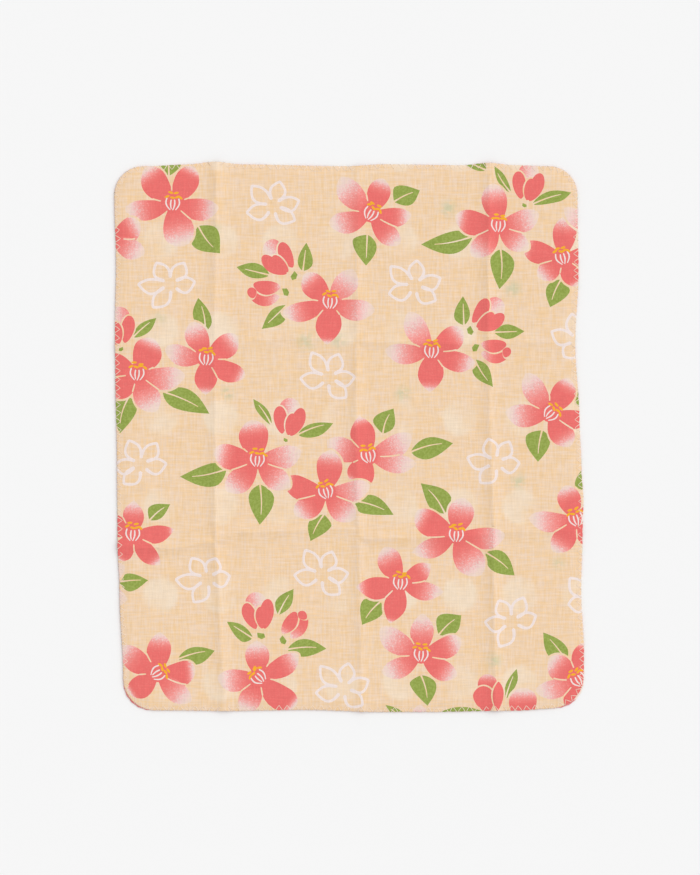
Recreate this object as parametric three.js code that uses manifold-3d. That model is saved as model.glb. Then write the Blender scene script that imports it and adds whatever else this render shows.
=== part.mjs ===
// A double gauze handkerchief, opened out on a table, with the creases of its last folding.
// It is two printed plies of cotton gauze of one cut, laid wrong sides together and sewn all round.
// Millimetres. +X runs across the width, +Y up the length, and the back ply lies on Z = 0.
import * as THREE from "three";
import { mergeVertices } from "three/addons/utils/BufferGeometryUtils.js";
import Module from "manifold-3d";

const wasm = await Module();
wasm.setup();

// Driving dimensions
const WIDTH = 290;
const LENGTH = 341;
const PLY_THICKNESS = 1.1;
const PLY_GAP = 0.36;
const CREASE_REACH = 9; // from a crest to where the cloth is flat again
const TRIM_MARGIN = 6; // cloth past the outline, before it is cut
const CORNER_STEPS = 10;
const SIDE_STEP = 11; // the longest straight cut along a side
const FLAT_STEP = 28; // the widest strip of the mesh between two creases
const ACROSS_CREASE = [-1, -0.62, -0.3, 0, 0.3, 0.62, 1]; // mesh lines by a crest, in crease reaches
const CUTTER_DEPTH = 30; // more than the creased cloth stands high
const WELD = 1e-4;

// How far each side of the cut strays outwards from the plain rectangle, in mm, at places along it.
const LEFT_SIDE = [
  { at: -150, out: -3.8 },
  { at: -96, out: -1.5 },
  { at: -64, out: -0.2 },
  { at: -14, out: 0.1 },
  { at: 36, out: 1.1 },
  { at: 68, out: 1.4 },
  { at: 108, out: 0.7 },
  { at: 150, out: 1.7 },
];
const RIGHT_SIDE = [
  { at: -136, out: 2.3 },
  { at: -96, out: 0.5 },
  { at: -60, out: 1.4 },
  { at: -40, out: 2 },
  { at: -20, out: 0.7 },
  { at: 11, out: -0.5 },
  { at: 58, out: -3.2 },
  { at: 105, out: -1.1 },
  { at: 150, out: -1.8 },
];
const TOP_SIDE = [
  { at: -125, out: -0.3 },
  { at: -100, out: 0.8 },
  { at: -82, out: 2.5 },
  { at: -64, out: 0.8 },
  { at: 1, out: -0.3 },
  { at: 23, out: 0.9 },
  { at: 72, out: 0.3 },
  { at: 89, out: 1.8 },
  { at: 105, out: 0.4 },
  { at: 126, out: -0.3 },
];
const BOTTOM_SIDE = [
  { at: -118, out: 0 },
  { at: -78, out: 0.4 },
  { at: -30, out: -0.3 },
  { at: 16, out: 1 },
  { at: 45, out: 1 },
  { at: 101, out: 0.2 },
  { at: 130, out: -1.4 },
];

// The four rounded corners, anticlockwise. The back ply is squarer at the bottom, where it peeps out.
const CORNERS = [
  { right: 1, up: 1, radius: 18, backRadius: 18 },
  { right: -1, up: 1, radius: 18, backRadius: 18 },
  { right: -1, up: -1, radius: 20, backRadius: 17.5 },
  { right: 1, up: -1, radius: 20.5, backRadius: 17.5 },
];

// Creases that run up the length: where the crest lies across the width, and how high it stands.
const UPRIGHT_CREASES = [
  [
    { at: -171, crest: -78, rise: 1.4 },
    { at: -105, crest: -81, rise: 1.8 },
    { at: -62, crest: -83.5, rise: 2 },
    { at: 60, crest: -84, rise: 1.2 },
    { at: 171, crest: -83, rise: 1.9 },
  ],
  [
    { at: -171, crest: 8, rise: 1.1 },
    { at: -70, crest: 6.5, rise: 1.5 },
    { at: 0, crest: 4.5, rise: 1.8 },
    { at: 75, crest: 5, rise: 1.5 },
    { at: 171, crest: 6, rise: 0.9 },
  ],
  [
    { at: -171, crest: 91.5, rise: 1.6 },
    { at: -64, crest: 90.5, rise: 2 },
    { at: 30, crest: 88, rise: 1.7 },
    { at: 80, crest: 87, rise: 2.1 },
    { at: 171, crest: 88, rise: 1.6 },
  ],
];

// Creases that run across the width, the same way. They step a little where they cross the upright ones.
const LEVEL_CREASES = [
  [
    { at: -146, crest: -68, rise: 1.2 },
    { at: -112, crest: -69, rise: 2 },
    { at: -86, crest: -65, rise: 2 },
    { at: -66, crest: -59, rise: 1.7 },
    { at: 3, crest: -57, rise: 1.2 },
    { at: 10, crest: -63, rise: 1.9 },
    { at: 60, crest: -62, rise: 1.6 },
    { at: 104, crest: -59, rise: 1.1 },
    { at: 146, crest: -58, rise: 0.9 },
  ],
  [
    { at: -146, crest: 57, rise: 0.6 },
    { at: -20, crest: 62, rise: 0.8 },
    { at: 6, crest: 60, rise: 1.5 },
    { at: 88, crest: 59, rise: 1.2 },
    { at: 146, crest: 61, rise: 0.8 },
  ],
];

const FACE_GAUZE = new THREE.MeshStandardMaterial({
  color: 0xefd1ac,
  roughness: 0.9,
  metalness: 0,
});
const BACK_GAUZE = new THREE.MeshStandardMaterial({
  color: 0xe9bcae,
  roughness: 0.9,
  metalness: 0,
});

// A column of a table at a place between its rows, eased from row to row.
function read(table, column, at) {
  const last = table.length - 1;
  if (at <= table[0].at) return table[0][column];
  if (at >= table[last].at) return table[last][column];
  const next = table.findIndex((row) => row.at > at);
  const share = (at - table[next - 1].at) / (table[next].at - table[next - 1].at);
  const eased = share * share * (3 - 2 * share);
  return THREE.MathUtils.lerp(table[next - 1][column], table[next][column], eased);
}

// Moves a point of the plain rectangle with the sides that stray, most at the side itself.
function strayed(x, y) {
  const right = 0.5 + x / WIDTH;
  const up = 0.5 + y / LENGTH;
  return new THREE.Vector2(
    x + right * read(RIGHT_SIDE, "out", y) - (1 - right) * read(LEFT_SIDE, "out", y),
    y + up * read(TOP_SIDE, "out", x) - (1 - up) * read(BOTTOM_SIDE, "out", x),
  );
}

// The cut's outline as points, anticlockwise from the top right corner.
function outline(radiusOf) {
  const points = [];
  CORNERS.forEach((corner, i) => {
    const radius = radiusOf(corner);
    const x = corner.right * (WIDTH / 2 - radius);
    const y = corner.up * (LENGTH / 2 - radius);
    for (let step = 0; step <= CORNER_STEPS; step++) {
      const angle = ((i + step / CORNER_STEPS) * Math.PI) / 2;
      points.push(new THREE.Vector2(x + radius * Math.cos(angle), y + radius * Math.sin(angle)));
    }
    const next = CORNERS[(i + 1) % CORNERS.length];
    const end = new THREE.Vector2(
      next.right * (WIDTH / 2 - (next.right === corner.right ? 0 : radiusOf(next))),
      next.up * (LENGTH / 2 - (next.up === corner.up ? 0 : radiusOf(next))),
    );
    const start = points[points.length - 1];
    const steps = Math.ceil(start.distanceTo(end) / SIDE_STEP);
    for (let step = 1; step < steps; step++) {
      points.push(start.clone().lerp(end, step / steps));
    }
  });
  return points.map((p) => strayed(p.x, p.y));
}

// How high one crease lifts the cloth at a distance from its crest: sharp there, and flat at the foot.
function lift(rise, distance) {
  const near = 1 - Math.abs(distance) / CREASE_REACH;
  return near > 0 ? rise * near * near : 0;
}

// How high the underside of the cloth stands over the table.
function height(x, y) {
  const upright = UPRIGHT_CREASES.map((c) => lift(read(c, "rise", y), x - read(c, "crest", y)));
  const level = LEVEL_CREASES.map((c) => lift(read(c, "rise", x), y - read(c, "crest", x)));
  return Math.max(...upright, ...level);
}

// Mesh lines that follow the creases: several along each one, and some between it and the next.
function gridLines(creases, low, high) {
  const edge = (value) => () => value;
  const lines = [edge(low)];
  const spans = [];
  creases.forEach((crease) => {
    const own = ACROSS_CREASE.map((share) => (at) => read(crease, "crest", at) + share * CREASE_REACH);
    spans.push([lines[lines.length - 1], own[0]]);
    lines.push(...own);
  });
  spans.push([lines[lines.length - 1], edge(high)]);
  lines.push(edge(high));
  const between = [];
  spans.forEach(([from, to]) => {
    const steps = Math.ceil((to(0) - from(0)) / FLAT_STEP);
    for (let step = 1; step < steps; step++) {
      between.push((at) => THREE.MathUtils.lerp(from(at), to(at), step / steps));
    }
  });
  return [...lines, ...between].sort((a, b) => a(0) - b(0));
}

// One ply before its outline is cut: a closed sheet of even thickness over the creases.
function creasedSheet(bottom) {
  const columns = gridLines(UPRIGHT_CREASES, -WIDTH / 2 - TRIM_MARGIN, WIDTH / 2 + TRIM_MARGIN);
  const rows = gridLines(LEVEL_CREASES, -LENGTH / 2 - TRIM_MARGIN, LENGTH / 2 + TRIM_MARGIN);
  const across = columns.length;
  const up = rows.length;
  const positions = [];
  for (const z of [bottom, bottom + PLY_THICKNESS]) {
    for (let j = 0; j < up; j++) {
      for (let i = 0; i < across; i++) {
        const x = columns[i](rows[j](0));
        const y = rows[j](columns[i](0));
        positions.push(x, y, z + height(x, y));
      }
    }
  }
  const triangles = [];
  const quad = (a, b, c, d) => triangles.push(a, b, c, a, c, d);
  const at = (i, j, layer) => layer * across * up + j * across + i;
  for (let j = 0; j < up - 1; j++) {
    for (let i = 0; i < across - 1; i++) {
      quad(at(i, j, 1), at(i + 1, j, 1), at(i + 1, j + 1, 1), at(i, j + 1, 1));
      quad(at(i, j, 0), at(i, j + 1, 0), at(i + 1, j + 1, 0), at(i + 1, j, 0));
    }
  }
  for (let i = 0; i < across - 1; i++) {
    quad(at(i, 0, 0), at(i + 1, 0, 0), at(i + 1, 0, 1), at(i, 0, 1));
    quad(at(i + 1, up - 1, 0), at(i, up - 1, 0), at(i, up - 1, 1), at(i + 1, up - 1, 1));
  }
  for (let j = 0; j < up - 1; j++) {
    quad(at(across - 1, j, 0), at(across - 1, j + 1, 0), at(across - 1, j + 1, 1), at(across - 1, j, 1));
    quad(at(0, j + 1, 0), at(0, j, 0), at(0, j, 1), at(0, j + 1, 1));
  }
  return new wasm.Manifold(
    new wasm.Mesh({
      numProp: 3,
      vertProperties: new Float32Array(positions),
      triVerts: new Uint32Array(triangles),
    }),
  );
}

// A three.js geometry as a manifold-3d solid.
function solidOf(geometry) {
  const bare = geometry.clone();
  bare.deleteAttribute("normal");
  bare.deleteAttribute("uv");
  const merged = mergeVertices(bare, WELD);
  return new wasm.Manifold(
    new wasm.Mesh({
      numProp: 3,
      vertProperties: merged.attributes.position.array,
      triVerts: new Uint32Array(merged.index.array),
    }),
  );
}

// A manifold-3d solid as a three.js geometry.
function geometryOf(solid) {
  const mesh = solid.getMesh();
  const geometry = new THREE.BufferGeometry();
  geometry.setAttribute("position", new THREE.BufferAttribute(mesh.vertProperties, 3));
  geometry.setIndex(new THREE.BufferAttribute(mesh.triVerts, 1));
  geometry.computeVertexNormals();
  return geometry;
}

// One ply, cut to its outline.
function ply(name, material, bottom, radiusOf) {
  const cutter = new THREE.ExtrudeGeometry(new THREE.Shape(outline(radiusOf)), {
    depth: CUTTER_DEPTH,
    bevelEnabled: false,
    steps: 1,
  });
  cutter.translate(0, 0, -CUTTER_DEPTH / 2);
  const solid = creasedSheet(bottom).intersect(solidOf(cutter));
  const mesh = new THREE.Mesh(geometryOf(solid), material);
  mesh.name = name;
  return mesh;
}

const handkerchief = new THREE.Group();
handkerchief.add(ply("back_gauze", BACK_GAUZE, 0, (corner) => corner.backRadius));
handkerchief.add(
  ply("face_gauze", FACE_GAUZE, PLY_THICKNESS + PLY_GAP, (corner) => corner.radius),
);

// The origin is the middle of the underside of the cloth as it lies.
const reach = new THREE.Box3().setFromObject(handkerchief);
const middle = reach.getCenter(new THREE.Vector3());
handkerchief.position.set(-middle.x, -middle.y, 0);

export default handkerchief;
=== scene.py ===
# The looks of a printed double gauze handkerchief, laid open with the creases of its last folding.
# Two plies of one cut, the print on the face, and white thread whipped over the edge all round.
# Tables are in millimetres in the frame of the cloth's middle: +X across, +Y up the length.
import math
from collections import namedtuple

import bpy
import numpy as np
from mathutils import Matrix, Vector, geometry, noise


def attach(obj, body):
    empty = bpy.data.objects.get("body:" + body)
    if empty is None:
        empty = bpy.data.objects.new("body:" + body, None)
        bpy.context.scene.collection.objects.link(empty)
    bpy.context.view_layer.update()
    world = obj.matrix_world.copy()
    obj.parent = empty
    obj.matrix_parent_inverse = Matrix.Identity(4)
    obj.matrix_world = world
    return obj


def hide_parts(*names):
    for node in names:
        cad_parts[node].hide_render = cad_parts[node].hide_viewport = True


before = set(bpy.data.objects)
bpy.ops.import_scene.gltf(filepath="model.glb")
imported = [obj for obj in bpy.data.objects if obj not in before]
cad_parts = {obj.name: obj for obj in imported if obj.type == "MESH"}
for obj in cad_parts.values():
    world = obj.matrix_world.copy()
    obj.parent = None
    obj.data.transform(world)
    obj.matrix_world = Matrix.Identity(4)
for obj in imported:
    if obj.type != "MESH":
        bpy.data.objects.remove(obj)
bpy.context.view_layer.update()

# Units and driving sizes
MM = 0.001
WIDTH = 290
LENGTH = 341
PLY = 0.55  # one ply of gauze with its soft surface
FACE_LEVEL = 1.5  # the underside of the face ply, away from the edge
SEAM_LEVEL = 0.8  # the same where the thread holds it down
SEAM_LIFT = 0.2  # how far the thread under the seam lifts the back ply
SEAM_SLOPE = 6.5  # how far in from the edge the face ply comes down
RIM_ROUND = 0.45
RIM_STEP = 1.05
CORNER_STEPS = 10
CREASE_REACH = 9
FACE_STEP = 2.3  # the widest strip of the printed mesh
PLAIN_STEP = 5.5  # the same where nothing is printed
FACE_CREASE = [-1, -0.74, -0.52, -0.34, -0.2, -0.09, 0, 0.09, 0.2, 0.34, 0.52, 0.74, 1]
PLAIN_CREASE = [-1, -0.62, -0.3, -0.1, 0, 0.1, 0.3, 0.62, 1]
RIM_INSETS = [0.14, 0.45, 1.1, 2.2, 3.7, 5.3, 7.0]  # mesh lines inside the edge
WELD = 0.02
CHUNK = 2000  # points measured at a time

# Camera and floor
FRAME_HEIGHT = 547.75  # of the picture, at the level of the cloth
AIM = (0.5, -0.4)
LENS = 100
SENSOR = 36

# How far each side of the cut strays outwards from the plain rectangle, at places along it.
LEFT_SIDE = [
    (-150, -3.8), (-96, -1.5), (-64, -0.2), (-14, 0.1), (36, 1.1), (68, 1.4), (108, 0.7), (150, 1.7),
]
RIGHT_SIDE = [
    (-136, 2.3), (-96, 0.5), (-60, 1.4), (-40, 2), (-20, 0.7), (11, -0.5), (58, -3.2),
    (105, -1.1), (150, -1.8),
]
TOP_SIDE = [
    (-125, -0.3), (-100, 0.8), (-82, 2.5), (-64, 0.8), (1, -0.3), (23, 0.9), (72, 0.3),
    (89, 1.8), (105, 0.4), (126, -0.3),
]
BOTTOM_SIDE = [(-118, 0), (-78, 0.4), (-30, -0.3), (16, 1), (45, 1), (101, 0.2), (130, -1.4)]

# The rounded corners, anticlockwise: right, up, radius, radius of the back ply.
Corner = namedtuple("Corner", "right up face back")
CORNERS = [
    Corner(1, 1, 18, 18), Corner(-1, 1, 18, 18),
    Corner(-1, -1, 20, 17.5), Corner(1, -1, 20.5, 17.5),
]

# Creases up the length: at a place along it, where the crest lies and how high it stands.
UPRIGHT_CREASES = [
    [(-171, -78, 1.4), (-105, -81, 1.8), (-62, -83.5, 2), (60, -84, 1.2), (171, -83, 1.9)],
    [(-171, 8, 1.1), (-70, 6.5, 1.5), (0, 4.5, 1.8), (75, 5, 1.5), (171, 6, 0.9)],
    [(-171, 91.5, 1.6), (-64, 90.5, 2), (30, 88, 1.7), (80, 87, 2.1), (171, 88, 1.6)],
]
# Creases across the width, the same way.
LEVEL_CREASES = [
    [
        (-146, -68, 1.2), (-112, -69, 2), (-86, -65, 2), (-66, -59, 1.7), (3, -57, 1.2),
        (10, -63, 1.9), (60, -62, 1.6), (104, -59, 1.1), (146, -58, 0.9),
    ],
    [(-146, 57, 0.6), (-20, 62, 0.8), (6, 60, 1.5), (88, 59, 1.2), (146, 61, 0.8)],
]

# Small wrinkles of the face ply: from, to, half-width, rise.
WRINKLES = [(105, -22, 145, -25, 1.6, 0.35), (112, -90, 144, -88, 1.5, 0.3)]
WRINKLE_FADE = 8
# The soft swells and the fine crinkle of gauze: their reach across and along, what tells their
# noise apart, and their rise.
SOFT_WAVES = [(46, 38, 1.7, 0.16), (9, 6.5, 5.1, 0.05)]


# The cut and the lie of the cloth

def eased(share):
    """A share from 0 to 1 that starts and ends gently."""
    share = np.clip(share, 0, 1)
    return share * share * (3 - 2 * share)


def read(rows, column, at):
    """A column of a table at places between its rows, eased from row to row."""
    places, values = np.array([(row[0], row[column]) for row in rows], float).T
    before = np.clip(np.searchsorted(places, at, side="right") - 1, 0, len(rows) - 2)
    share = (at - places[before]) / np.diff(places)[before]
    return values[before] + np.diff(values)[before] * eased(share)


def strayed(points):
    """Points of the plain rectangle, moved with the sides that stray."""
    x, y = points[:, 0], points[:, 1]
    right = 0.5 + x / WIDTH
    up = 0.5 + y / LENGTH
    moved_x = x + right * read(RIGHT_SIDE, 1, y) - (1 - right) * read(LEFT_SIDE, 1, y)
    moved_y = y + up * read(TOP_SIDE, 1, x) - (1 - up) * read(BOTTOM_SIDE, 1, x)
    return np.column_stack([moved_x, moved_y])


def cut_outline(ply):
    """The outline of the "face" or "back" ply, anticlockwise from the top right corner."""
    arcs = []
    for i, corner in enumerate(CORNERS):
        radius = getattr(corner, ply)
        middle = (corner.right * (WIDTH / 2 - radius), corner.up * (LENGTH / 2 - radius))
        angles = (i + np.arange(CORNER_STEPS + 1) / CORNER_STEPS) * math.pi / 2
        arcs.append(middle + radius * np.column_stack([np.cos(angles), np.sin(angles)]))
    points = []
    for arc, following in zip(arcs, arcs[1:] + arcs[:1]):
        side = following[0] - arc[-1]
        steps = math.ceil(math.hypot(*side) / (4 * RIM_STEP))
        points += [arc, arc[-1] + side * (np.arange(1, steps)[:, None] / steps)]
    return strayed(np.vstack(points))


def unit(steps):
    """Steps of the same directions, each one long."""
    return steps / np.hypot(*steps.T)[:, None]


def evenly(points, step):
    """A closed outline with points at an even step, and the outward direction at each."""
    closed = np.vstack([points, points[:1]])
    run = np.concatenate([[0], np.cumsum(np.hypot(*np.diff(closed, axis=0).T))])
    count = round(run[-1] / step)
    places = np.arange(count) * run[-1] / count
    even = np.column_stack([np.interp(places, run, closed[:, k]) for k in (0, 1)])
    ahead = unit(np.roll(even, -1, axis=0) - np.roll(even, 1, axis=0))
    return even, np.column_stack([ahead[:, 1], -ahead[:, 0]])


both = np.vstack([cut_outline("face"), cut_outline("back")])
MIDDLE = (both.min(0) + both.max(0)) / 2  # the cut's own middle, which the frame has at its origin


def crease_height(x, y):
    """How high the creases lift the cloth at a place of the frame."""
    x = x + MIDDLE[0]
    y = y + MIDDLE[1]
    height = np.zeros_like(x)
    for creases, along, across in ((UPRIGHT_CREASES, y, x), (LEVEL_CREASES, x, y)):
        for crease in creases:
            near = np.clip(1 - np.abs(across - read(crease, 1, along)) / CREASE_REACH, 0, 1)
            height = np.maximum(height, read(crease, 2, along) * near * near)
    return height


def wrinkle_height(x, y):
    """Small ridges of the face ply, each fading at its two ends."""
    height = np.zeros_like(x)
    for x1, y1, x2, y2, reach, rise in WRINKLES:
        run = math.dist((x1, y1), (x2, y2))
        along = ((x - x1) * (x2 - x1) + (y - y1) * (y2 - y1)) / run
        aside = ((y - y1) * (x2 - x1) - (x - x1) * (y2 - y1)) / run
        ends = np.clip(along / WRINKLE_FADE, 0, 1) * np.clip((run - along) / WRINKLE_FADE, 0, 1)
        height += rise * ends * np.exp(-((aside / reach) ** 2))
    return height


def soft_waves(x, y):
    """The slight unevenness of soft gauze."""
    height = np.zeros_like(x)
    for across, along, layer, rise in SOFT_WAVES:
        waves = [noise.noise(Vector((a / across, b / along, layer))) for a, b in zip(x, y)]
        height += rise * np.array(waves)
    return height


def grid_lines(creases, size, across, flat_step, at=()):
    """Mesh lines that follow the creases, each read at 0 and at more places along it."""
    at = np.append(0.0, at)
    lines = [np.full_like(at, -size / 2)]

    def fill_to(line):
        start = lines[-1]
        steps = math.ceil((line[0] - start[0]) / flat_step)
        lines.extend(start + (line - start) * (step / steps) for step in range(1, steps))
        lines.append(line)

    for crease in creases:
        own = [read(crease, 1, at) + share * CREASE_REACH for share in across]
        fill_to(own[0])
        lines += own[1:]
    fill_to(np.full_like(at, size / 2))
    return np.array(lines)


def grid_points(across, flat_step):
    """Places of the mesh between the edges of the cloth, in the frame."""
    rows = grid_lines(LEVEL_CREASES, LENGTH, across, flat_step)
    columns = grid_lines(UPRIGHT_CREASES, WIDTH, across, flat_step, rows[:, 0])
    rows = grid_lines(LEVEL_CREASES, LENGTH, across, flat_step, columns[:, 0])
    return np.column_stack([columns[:, 1:].ravel(), rows[:, 1:].T.ravel()]) - MIDDLE


def inside(points, polygon):
    """Which points lie inside a polygon."""
    found = ((points > polygon.min(0)) & (points < polygon.max(0))).all(1)
    x, y = points[found].T
    hit = np.zeros(len(x), bool)
    for (x1, y1), (x2, y2) in zip(polygon, np.roll(polygon, -1, axis=0)):
        if y1 != y2:
            hit ^= ((y1 > y) != (y2 > y)) & (x < x1 + (y - y1) * (x2 - x1) / (y2 - y1))
    found[found] = hit
    return found


def rim_distance(points, outline):
    """How far each point is from the outline, exact near it."""
    step = np.roll(outline, -1, axis=0) - outline
    square = (step**2).sum(1)
    found = []
    for first in range(0, len(points), CHUNK):
        part = points[first:first + CHUNK, None, :] - outline[None, :, :]
        share = np.clip((part * step).sum(2) / square, 0, 1)
        gap = part - share[:, :, None] * step
        found.append(np.sqrt((gap**2).sum(2).min(1)))
    return np.concatenate(found)


# The print's motifs, each a list of layers painted in turn: ink, outline, and how it fades

Layer = namedtuple("Layer", "ink outline centre turn reach fade", defaults=((0, 0), 0, 1, 0))
GROUND, CORAL, LEAF, PALE, YOLK = "ground", "coral", "leaf", "pale", "yolk"
SAG = 7.5  # how far a petal's middle hangs below the line to its tip, in hundredths of its length
ROUND_END = 0.8


def facing(turn):
    return np.array([math.cos(math.radians(turn)), math.sin(math.radians(turn))])


def placed(along, aside, centre, turn):
    """Points along and to the left of a motif's axis, in the print."""
    return np.array(centre) + np.outer(along, facing(turn)) + np.outer(aside, facing(turn + 90))


def stroke(points, widths):
    """The outline of a drawn line of changing width, with blunt round ends."""
    points = np.array(points, float)
    widths = np.interp(np.linspace(0, 1, len(points)), np.linspace(0, 1, len(widths)), widths)
    ahead = unit(np.gradient(points, axis=0))
    left = np.column_stack([-ahead[:, 1], ahead[:, 0]])
    half = widths[:, None] / 2
    start = points[:1] - ahead[:1] * half[:1] * ROUND_END
    end = points[-1:] + ahead[-1:] * half[-1:] * ROUND_END
    return np.vstack([start, points - left * half, end, (points + left * half)[::-1]])


def ring(x, y, radius, count=13):
    around = np.linspace(0, 2 * math.pi, count)[:-1]
    return np.column_stack([x + radius * np.cos(around), y + radius * np.sin(around)])


def joined(sides):
    """One outline of two sides that share their ends."""
    return np.vstack([sides[0], sides[1][::-1][1:-1]])


def swell(share, peak, near, far):
    """How wide a shape is, from its foot over its peak to its tip."""
    rise = np.sin(math.pi / 2 * np.clip(share / peak, 0, 1)) ** near
    fall = np.cos(math.pi / 2 * np.clip((share - peak) / (1 - peak), 0, 1)).clip(0) ** far
    return rise * fall


def bow(bend, reach, share):
    """How far a bent axis lies to the left of the straight one."""
    return bend / 100 * reach * np.sin(math.pi * share)


def sag(turn, reach, share):
    return bow(-math.cos(math.radians(turn)) * SAG, reach, share)


EASED = (1 - np.cos(np.linspace(0, math.pi, 17))) / 2
# How far out a petal is widest, then how blunt its foot and its tip are.
PETAL_FORMS = {
    "round": (0.62, 0.75, 0.6),
    "broad": (0.65, 0.75, 0.48),
    "oval": (0.57, 0.75, 0.72),
    "point": (0.55, 0.75, 0.92),
    "blunt": (0.5, 0.6, 0.5),
    "cup": (0.6, 0.6, 0.45),
}
PETAL_STRETCH = 1.02  # the faint end of a petal past where it was measured
UNEVEN = 0.04  # how far the two sides of a petal differ in where they are widest
HALO = 1.2
FADE_RUN = 1.4  # how long the whole fade is, for the part of it that shows
TIP_FADE = 1.2  # how far the fade has gone at the very tip
CORE_RADIUS, CORE_LIFT = 6.2, 0.6
FULL_INK = {"reach": 1e3, "fade": 0.01}  # so far from its fading that none of it shows
# The line that parts two petals: how far out it starts, and how much further above the middle,
# where it ends at the latest, and the angle between the petals at which it ends before that.
GAP_START, GAP_SHIFT, GAP_REACH, GAP_OPEN = 7.4, 0.9, 20, 6
GAP_WIDTHS = [0.75, 0.95, 0.95]
WIDEST_STEP = 110  # petals further apart than this have no line between them

# A petal: its direction, length and width, how many hundredths of it fade, and its form.
Petal = namedtuple("Petal", "turn reach width fade form", defaults=("round",))


def petal_outline(centre, petal, grow=0.0):
    """A petal from the flower's middle to its tip, a little lopsided."""
    peak, near, far = PETAL_FORMS[petal.form]
    uneven = UNEVEN * math.sin(petal.turn * 0.7 + petal.reach)
    along = EASED * (petal.reach * PETAL_STRETCH + grow)
    sides = []
    for side in (-1, 1):
        half = swell(EASED, peak + side * uneven, near, far) * petal.width / 2
        half += grow * np.sin(math.pi * EASED).clip(0) ** 0.5
        aside = sag(petal.turn, petal.reach, EASED) + side * half
        sides.append(placed(along, aside, centre, petal.turn))
    return joined(sides)


def petal_side(petal, radius, side):
    """In which direction a side of a petal lies, seen from the flower's middle."""
    share = radius / petal.reach
    half = swell(share, *PETAL_FORMS[petal.form]) * petal.width / 2
    aside = sag(petal.turn, petal.reach, share) + side * half
    return petal.turn + math.degrees(math.atan2(aside, radius))


def gap_layer(centre, petal, following):
    """The cream line that parts two petals, midway between their sides."""
    middle = (petal.turn + following.turn) / 2
    start = GAP_START + GAP_SHIFT * math.sin(math.radians(middle))
    points = []
    for radius in np.arange(start, GAP_REACH):
        before, after = petal_side(petal, radius, 1), petal_side(following, radius, -1)
        points.append(np.array(centre) + radius * facing((before + after) / 2))
        if len(points) > 2 and after - before > GAP_OPEN:
            break
    return Layer(GROUND, stroke(points, GAP_WIDTHS))


def flower_layers(x, y, lean, petals):
    """One open flower: the petals with the gaps between them, then the stamens."""
    centre = (x, y)
    petals = [Petal(*row) for row in petals]
    layers = [Layer(GROUND, petal_outline(centre, p, HALO)) for p in petals]
    for p in petals:
        layers.append(Layer(CORAL, petal_outline(centre, p), centre, p.turn, p.reach, p.fade / 100))
    if lean is not None:
        layers.append(Layer(CORAL, ring(x, y + CORE_LIFT, CORE_RADIUS), **FULL_INK))
    ordered = sorted(p._replace(turn=p.turn % 360) for p in petals)
    first_again = ordered[0]._replace(turn=ordered[0].turn + 360)
    for petal, following in zip(ordered, ordered[1:] + [first_again]):
        if following.turn - petal.turn < WIDEST_STEP:
            layers.append(gap_layer(centre, petal, following))
    if lean is not None:
        layers += stamen_layers(centre, 90 - lean)
    return layers


# The filaments: how far aside the foot, bulge and top stand, and how far up it starts and ends.
FILAMENTS = [
    (-1.6, -1.5, -3.6, -3.9, 3.4), (-0.9, -0.4, -0.9, -3.2, 2.3), (0, 0.6, 1.2, -4, 2.3),
    (1.8, 1.3, 3.8, -3.9, 2.9),
]
FILAMENT_WIDTHS = [0.6, 0.95, 0.85]
# The anthers: how far aside and up each dab lies, and its slope.
ANTHERS = [
    (-3.5, 4.8, 18), (-0.4, 4.2, -22), (2.6, 4.6, 12), (4.7, 3.6, -38), (-1.4, 6.8, -8), (2.4, 6.4, 10),
]
ANTHER_LENGTH, ANTHER_WIDTH = 3.4, 1.5
ANTHER_STRAY, SLOPE_STRAY = 0.5, 12
stray = np.random.default_rng(11)


def stamen_layers(centre, turn):
    """White filaments that bulge from one foot, with yellow anthers over them."""
    layers = []
    share = np.linspace(0, 1, 7)
    for foot, bulge, top, low, high in FILAMENTS:
        side = foot + (top - foot) * share + bulge * np.sin(share * math.pi)
        line = placed(low + (high - low) * share, -side, centre, turn)
        layers.append(Layer(PALE, stroke(line, FILAMENT_WIDTHS)))
    across, thick = (ring(0, 0, 0.5, 11) * (ANTHER_LENGTH, ANTHER_WIDTH)).T
    for side, up, slope in ANTHERS:
        off = stray.uniform(-ANTHER_STRAY, ANTHER_STRAY, 2)
        slope += stray.uniform(-SLOPE_STRAY, SLOPE_STRAY)
        middle = placed([up + off[0]], [-side + off[1]], centre, turn)[0]
        layers.append(Layer(YOLK, placed(across, thick, middle, slope + turn - 90)))
    return layers


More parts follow.
